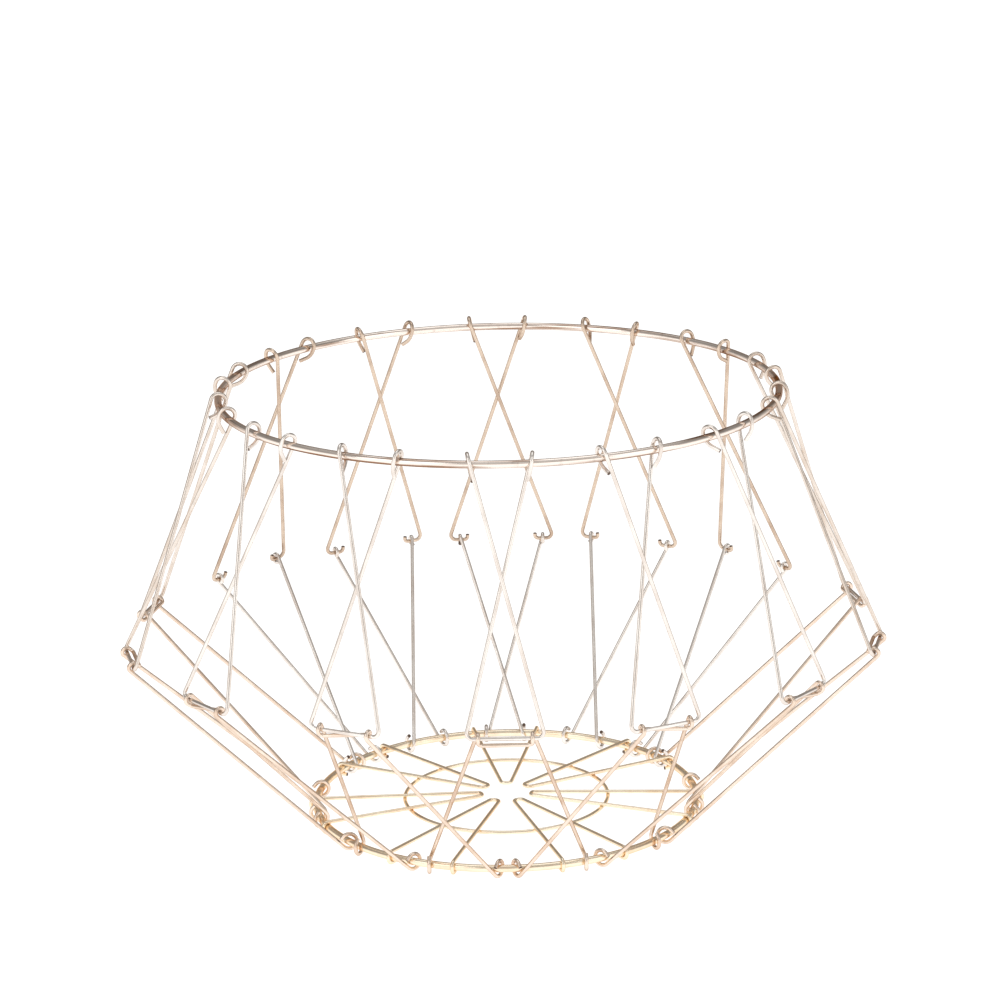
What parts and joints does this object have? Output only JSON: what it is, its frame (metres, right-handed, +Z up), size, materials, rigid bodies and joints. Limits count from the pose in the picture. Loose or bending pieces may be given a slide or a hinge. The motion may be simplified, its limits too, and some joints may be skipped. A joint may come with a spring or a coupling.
{
  "type": "wire produce basket",
  "caption": "Open-topped wire basket of two rings joined by hooked, hinged links that swell to a faceted waist; it changes shape as the top ring moves up or down.",
  "frame": {"origin": "On the floor, under the middle of the base ring.", "axes": "+Z is up, along the rings' axis. -Y is the front, where a link pair stands in the middle. +X is to the right seen from the front, along the basket's greatest width."},
  "size_m": [0.4124, 0.3551, 0.2448],
  "materials": {
    "ring_wire": "bright copper plating on round steel wire",
    "thin_wire": "bright copper plating on round steel wire"
  },
  "bodies": {
    "base": {"base_ring": "ring_wire", "inner_ring": "thin_wire", "base_spoke_1": "thin_wire", "base_spoke_2": "thin_wire", "base_spoke_3": "thin_wire", "base_spoke_4": "thin_wire", "base_spoke_5": "thin_wire", "base_spoke_6": "thin_wire", "base_spoke_7": "thin_wire"},
    "top_ring": {"top_ring": "ring_wire"},
    "lower_link_01": {"lower_link_01": "thin_wire"},
    "upper_link_01": {"upper_link_01": "thin_wire"},
    "lower_link_02": {"lower_link_02": "thin_wire"},
    "upper_link_02": {"upper_link_02": "thin_wire"},
    "lower_link_03": {"lower_link_03": "thin_wire"},
    "upper_link_03": {"upper_link_03": "thin_wire"},
    "lower_link_04": {"lower_link_04": "thin_wire"},
    "upper_link_04": {"upper_link_04": "thin_wire"},
    "lower_link_05": {"lower_link_05": "thin_wire"},
    "upper_link_05": {"upper_link_05": "thin_wire"},
    "lower_leg_06a": {"lower_leg_06a": "thin_wire"},
    "upper_leg_06a": {"upper_leg_06a": "thin_wire"},
    "lower_leg_06b": {"lower_leg_06b": "thin_wire"},
    "upper_leg_06b": {"upper_leg_06b": "thin_wire"},
    "lower_leg_07a": {"lower_leg_07a": "thin_wire"},
    "upper_leg_07a": {"upper_leg_07a": "thin_wire"},
    "lower_leg_07b": {"lower_leg_07b": "thin_wire"},
    "upper_leg_07b": {"upper_leg_07b": "thin_wire"},
    "lower_leg_08a": {"lower_leg_08a": "thin_wire"},
    "upper_leg_08a": {"upper_leg_08a": "thin_wire"},
    "lower_leg_08b": {"lower_leg_08b": "thin_wire"},
    "upper_leg_08b": {"upper_leg_08b": "thin_wire"},
    "lower_leg_09a": {"lower_leg_09a": "thin_wire"},
    "upper_leg_09a": {"upper_leg_09a": "thin_wire"},
    "lower_leg_09b": {"lower_leg_09b": "thin_wire"},
    "upper_leg_09b": {"upper_leg_09b": "thin_wire"},
    "lower_leg_10a": {"lower_leg_10a": "thin_wire"},
    "upper_leg_10a": {"upper_leg_10a": "thin_wire"},
    "lower_leg_10b": {"lower_leg_10b": "thin_wire"},
    "upper_leg_10b": {"upper_leg_10b": "thin_wire"},
    "lower_link_11": {"lower_link_11": "thin_wire"},
    "upper_link_11": {"upper_link_11": "thin_wire"},
    "lower_link_12": {"lower_link_12": "thin_wire"},
    "upper_link_12": {"upper_link_12": "thin_wire"},
    "lower_link_13": {"lower_link_13": "thin_wire"},
    "upper_link_13": {"upper_link_13": "thin_wire"},
    "lower_link_14": {"lower_link_14": "thin_wire"},
    "upper_link_14": {"upper_link_14": "thin_wire"}
  },
  "joints": [
    {"name": "top_ring_lift", "type": "slide", "parent": "base", "child": "top_ring", "axis": [0, 0, 1], "range_m": [-0.015, 0.006]},
    {"name": "foot_hinge_01", "type": "hinge", "parent": "base", "child": "lower_link_01", "pos_m": [0, -0.09697, 0.00525], "axis": [1, 0, 0], "range_deg": [-3.3, 7.8]},
    {"name": "waist_hinge_01", "type": "hinge", "parent": "lower_link_01", "child": "upper_link_01", "pos_m": [0, -0.1809, 0.10525], "axis": [1, 0, 0], "range_deg": [-13.2, 5.4]},
    {"name": "foot_hinge_02", "type": "hinge", "parent": "base", "child": "lower_link_02", "pos_m": [0.04207, -0.08737, 0.00525], "axis": [0.901, 0.4339, 0], "range_deg": [-3.1, 7.3]},
    {"name": "waist_hinge_02", "type": "hinge", "parent": "lower_link_02", "child": "upper_link_02", "pos_m": [0.08069, -0.16756, 0.10525], "axis": [0.901, 0.4339, 0], "range_deg": [-12.4, 5.1]},
    {"name": "foot_hinge_03", "type": "hinge", "parent": "base", "child": "lower_link_03", "pos_m": [0.07581, -0.06046, 0.00525], "axis": [0.6235, 0.7818, 0], "range_deg": [-2.7, 6.3]},
    {"name": "waist_hinge_03", "type": "hinge", "parent": "lower_link_03", "child": "upper_link_03", "pos_m": [0.15407, -0.12287, 0.10525], "axis": [0.6235, 0.7818, 0], "range_deg": [-10.8, 4.5]},
    {"name": "foot_hinge_04", "type": "hinge", "parent": "base", "child": "lower_link_04", "pos_m": [0.09454, -0.02158, 0.00525], "axis": [0.2225, 0.9749, 0], "range_deg": [-2.5, 5.8]},
    {"name": "waist_hinge_04", "type": "hinge", "parent": "lower_link_04", "child": "upper_link_04", "pos_m": [0.19974, -0.04559, 0.10525], "axis": [0.2225, 0.9749, 0], "range_deg": [-9.9, 4.1]},
    {"name": "foot_hinge_05", "type": "hinge", "parent": "base", "child": "lower_link_05", "pos_m": [0.09454, 0.02158, 0.00525], "axis": [-0.2225, 0.9749, 0], "range_deg": [-2.5, 6]},
    {"name": "waist_hinge_05", "type": "hinge", "parent": "lower_link_05", "child": "upper_link_05", "pos_m": [0.19712, 0.04499, 0.10525], "axis": [-0.2225, 0.9749, 0], "range_deg": [-10.2, 4.2]},
    {"name": "foot_hinge_06a", "type": "hinge", "parent": "base", "child": "lower_leg_06a", "pos_m": [0.08891, 0.0568, 0.00525], "axis": [-0.6235, 0.7818, 0], "range_deg": [-3.1, 7.5]},
    {"name": "waist_hinge_06a", "type": "hinge", "parent": "lower_leg_06a", "child": "upper_leg_06a", "pos_m": [0.13082, 0.13758, 0.10525], "axis": [-0.6235, 0.7818, 0], "range_deg": [-12.8, 5.3]},
    {"name": "foot_hinge_06b", "type": "hinge", "parent": "base", "child": "lower_leg_06b", "pos_m": [0.07516, 0.07404, 0.00525], "axis": [-0.6235, 0.7818, 0], "range_deg": [-3.1, 7.5]},
    {"name": "waist_hinge_06b", "type": "hinge", "parent": "lower_leg_06b", "child": "upper_leg_06b", "pos_m": [0.16324, 0.09692, 0.10525], "axis": [-0.6235, 0.7818, 0], "range_deg": [-12.8, 5.3]},
    {"name": "foot_hinge_07a", "type": "hinge", "parent": "base", "child": "lower_leg_07a", "pos_m": [0.05546, 0.08975, 0.00525], "axis": [-0.901, 0.4339, 0], "range_deg": [-3.9, 9.3]},
    {"name": "waist_hinge_07a", "type": "hinge", "parent": "lower_leg_07a", "child": "upper_leg_07a", "pos_m": [0.05185, 0.16759, 0.10525], "axis": [-0.901, 0.4339, 0], "range_deg": [-15.9, 6.5]},
    {"name": "foot_hinge_07b", "type": "hinge", "parent": "base", "child": "lower_leg_07b", "pos_m": [0.03559, 0.09932, 0.00525], "axis": [-0.901, 0.4339, 0], "range_deg": [-3.9, 9.3]},
    {"name": "waist_hinge_07b", "type": "hinge", "parent": "lower_leg_07b", "child": "upper_leg_07b", "pos_m": [0.0987, 0.14503, 0.10525], "axis": [-0.901, 0.4339, 0], "range_deg": [-15.9, 6.5]},
    {"name": "foot_hinge_08a", "type": "hinge", "parent": "base", "child": "lower_leg_08a", "pos_m": [0.01103, 0.10492, 0.00525], "axis": [-1, 0, 0], "range_deg": [-4.3, 10.4]},
    {"name": "waist_hinge_08a", "type": "hinge", "parent": "lower_leg_08a", "child": "upper_leg_08a", "pos_m": [-0.026, 0.16715, 0.10525], "axis": [-1, 0, 0], "range_deg": [-17.7, 7.2]},
    {"name": "foot_hinge_08b", "type": "hinge", "parent": "base", "child": "lower_leg_08b", "pos_m": [-0.01103, 0.10492, 0.00525], "axis": [-1, 0, 0], "range_deg": [-4.3, 10.4]},
    {"name": "waist_hinge_08b", "type": "hinge", "parent": "lower_leg_08b", "child": "upper_leg_08b", "pos_m": [0.026, 0.16715, 0.10525], "axis": [-1, 0, 0], "range_deg": [-17.7, 7.2]},
    {"name": "foot_hinge_09a", "type": "hinge", "parent": "base", "child": "lower_leg_09a", "pos_m": [-0.03559, 0.09932, 0.00525], "axis": [-0.901, -0.4339, 0], "range_deg": [-3.9, 9.3]},
    {"name": "waist_hinge_09a", "type": "hinge", "parent": "lower_leg_09a", "child": "upper_leg_09a", "pos_m": [-0.0987, 0.14503, 0.10525], "axis": [-0.901, -0.4339, 0], "range_deg": [-15.9, 6.5]},
    {"name": "foot_hinge_09b", "type": "hinge", "parent": "base", "child": "lower_leg_09b", "pos_m": [-0.05546, 0.08975, 0.00525], "axis": [-0.901, -0.4339, 0], "range_deg": [-3.9, 9.3]},
    {"name": "waist_hinge_09b", "type": "hinge", "parent": "lower_leg_09b", "child": "upper_leg_09b", "pos_m": [-0.05185, 0.16759, 0.10525], "axis": [-0.901, -0.4339, 0], "range_deg": [-15.9, 6.5]},
    {"name": "foot_hinge_10a", "type": "hinge", "parent": "base", "child": "lower_leg_10a", "pos_m": [-0.07516, 0.07404, 0.00525], "axis": [-0.6235, -0.7818, 0], "range_deg": [-3.1, 7.5]},
    {"name": "waist_hinge_10a", "type": "hinge", "parent": "lower_leg_10a", "child": "upper_leg_10a", "pos_m": [-0.16324, 0.09692, 0.10525], "axis": [-0.6235, -0.7818, 0], "range_deg": [-12.8, 5.3]},
    {"name": "foot_hinge_10b", "type": "hinge", "parent": "base", "child": "lower_leg_10b", "pos_m": [-0.08891, 0.0568, 0.00525], "axis": [-0.6235, -0.7818, 0], "range_deg": [-3.1, 7.5]},
    {"name": "waist_hinge_10b", "type": "hinge", "parent": "lower_leg_10b", "child": "upper_leg_10b", "pos_m": [-0.13082, 0.13758, 0.10525], "axis": [-0.6235, -0.7818, 0], "range_deg": [-12.8, 5.3]},
    {"name": "foot_hinge_11", "type": "hinge", "parent": "base", "child": "lower_link_11", "pos_m": [-0.09454, 0.02158, 0.00525], "axis": [-0.2225, -0.9749, 0], "range_deg": [-2.5, 6]},
    {"name": "waist_hinge_11", "type": "hinge", "parent": "lower_link_11", "child": "upper_link_11", "pos_m": [-0.19712, 0.04499, 0.10525], "axis": [-0.2225, -0.9749, 0], "range_deg": [-10.2, 4.2]},
    {"name": "foot_hinge_12", "type": "hinge", "parent": "base", "child": "lower_link_12", "pos_m": [-0.09454, -0.02158, 0.00525], "axis": [0.2225, -0.9749, 0], "range_deg": [-2.5, 5.8]},
    {"name": "waist_hinge_12", "type": "hinge", "parent": "lower_link_12", "child": "upper_link_12", "pos_m": [-0.19974, -0.04559, 0.10525], "axis": [0.2225, -0.9749, 0], "range_deg": [-9.9, 4.1]},
    {"name": "foot_hinge_13", "type": "hinge", "parent": "base", "child": "lower_link_13", "pos_m": [-0.07581, -0.06046, 0.00525], "axis": [0.6235, -0.7818, 0], "range_deg": [-2.7, 6.3]},
    {"name": "waist_hinge_13", "type": "hinge", "parent": "lower_link_13", "child": "upper_link_13", "pos_m": [-0.15407, -0.12287, 0.10525], "axis": [0.6235, -0.7818, 0], "range_deg": [-10.8, 4.5]},
    {"name": "foot_hinge_14", "type": "hinge", "parent": "base", "child": "lower_link_14", "pos_m": [-0.04207, -0.08737, 0.00525], "axis": [0.901, -0.4339, 0], "range_deg": [-3.1, 7.3]},
    {"name": "waist_hinge_14", "type": "hinge", "parent": "lower_link_14", "child": "upper_link_14", "pos_m": [-0.08069, -0.16756, 0.10525], "axis": [0.901, -0.4339, 0], "range_deg": [-12.4, 5.1]}
  ],
  "couplings": [
    {"joint": "foot_hinge_01", "follows": "top_ring_lift", "rad_per_m": -8.74},
    {"joint": "waist_hinge_01", "follows": "top_ring_lift", "rad_per_m": 15.11},
    {"joint": "foot_hinge_02", "follows": "top_ring_lift", "rad_per_m": -8.145},
    {"joint": "waist_hinge_02", "follows": "top_ring_lift", "rad_per_m": 14.088},
    {"joint": "foot_hinge_03", "follows": "top_ring_lift", "rad_per_m": -7.083},
    {"joint": "waist_hinge_03", "follows": "top_ring_lift", "rad_per_m": 12.262},
    {"joint": "foot_hinge_04", "follows": "top_ring_lift", "rad_per_m": -6.482},
    {"joint": "waist_hinge_04", "follows": "top_ring_lift", "rad_per_m": 11.227},
    {"joint": "foot_hinge_05", "follows": "top_ring_lift", "rad_per_m": -6.677},
    {"joint": "waist_hinge_05", "follows": "top_ring_lift", "rad_per_m": 11.563},
    {"joint": "foot_hinge_06a", "follows": "top_ring_lift", "rad_per_m": -8.423},
    {"joint": "waist_hinge_06a", "follows": "top_ring_lift", "rad_per_m": 14.583},
    {"joint": "foot_hinge_06b", "follows": "top_ring_lift", "rad_per_m": -8.423},
    {"joint": "waist_hinge_06b", "follows": "top_ring_lift", "rad_per_m": 14.583},
    {"joint": "foot_hinge_07a", "follows": "top_ring_lift", "rad_per_m": -10.524},
    {"joint": "waist_hinge_07a", "follows": "top_ring_lift", "rad_per_m": 18.197},
    {"joint": "foot_hinge_07b", "follows": "top_ring_lift", "rad_per_m": -10.524},
    {"joint": "waist_hinge_07b", "follows": "top_ring_lift", "rad_per_m": 18.197},
    {"joint": "foot_hinge_08a", "follows": "top_ring_lift", "rad_per_m": -11.779},
    {"joint": "waist_hinge_08a", "follows": "top_ring_lift", "rad_per_m": 20.353},
    {"joint": "foot_hinge_08b", "follows": "top_ring_lift", "rad_per_m": -11.779},
    {"joint": "waist_hinge_08b", "follows": "top_ring_lift", "rad_per_m": 20.353},
    {"joint": "foot_hinge_09a", "follows": "top_ring_lift", "rad_per_m": -10.524},
    {"joint": "waist_hinge_09a", "follows": "top_ring_lift", "rad_per_m": 18.197},
    {"joint": "foot_hinge_09b", "follows": "top_ring_lift", "rad_per_m": -10.524},
    {"joint": "waist_hinge_09b", "follows": "top_ring_lift", "rad_per_m": 18.197},
    {"joint": "foot_hinge_10a", "follows": "top_ring_lift", "rad_per_m": -8.423},
    {"joint": "waist_hinge_10a", "follows": "top_ring_lift", "rad_per_m": 14.583},
    {"joint": "foot_hinge_10b", "follows": "top_ring_lift", "rad_per_m": -8.423},
    {"joint": "waist_hinge_10b", "follows": "top_ring_lift", "rad_per_m": 14.583},
    {"joint": "foot_hinge_11", "follows": "top_ring_lift", "rad_per_m": -6.677},
    {"joint": "waist_hinge_11", "follows": "top_ring_lift", "rad_per_m": 11.563},
    {"joint": "foot_hinge_12", "follows": "top_ring_lift", "rad_per_m": -6.482},
    {"joint": "waist_hinge_12", "follows": "top_ring_lift", "rad_per_m": 11.227},
    {"joint": "foot_hinge_13", "follows": "top_ring_lift", "rad_per_m": -7.083},
    {"joint": "waist_hinge_13", "follows": "top_ring_lift", "rad_per_m": 12.262},
    {"joint": "foot_hinge_14", "follows": "top_ring_lift", "rad_per_m": -8.145},
    {"joint": "waist_hinge_14", "follows": "top_ring_lift", "rad_per_m": 14.088}
  ]
}
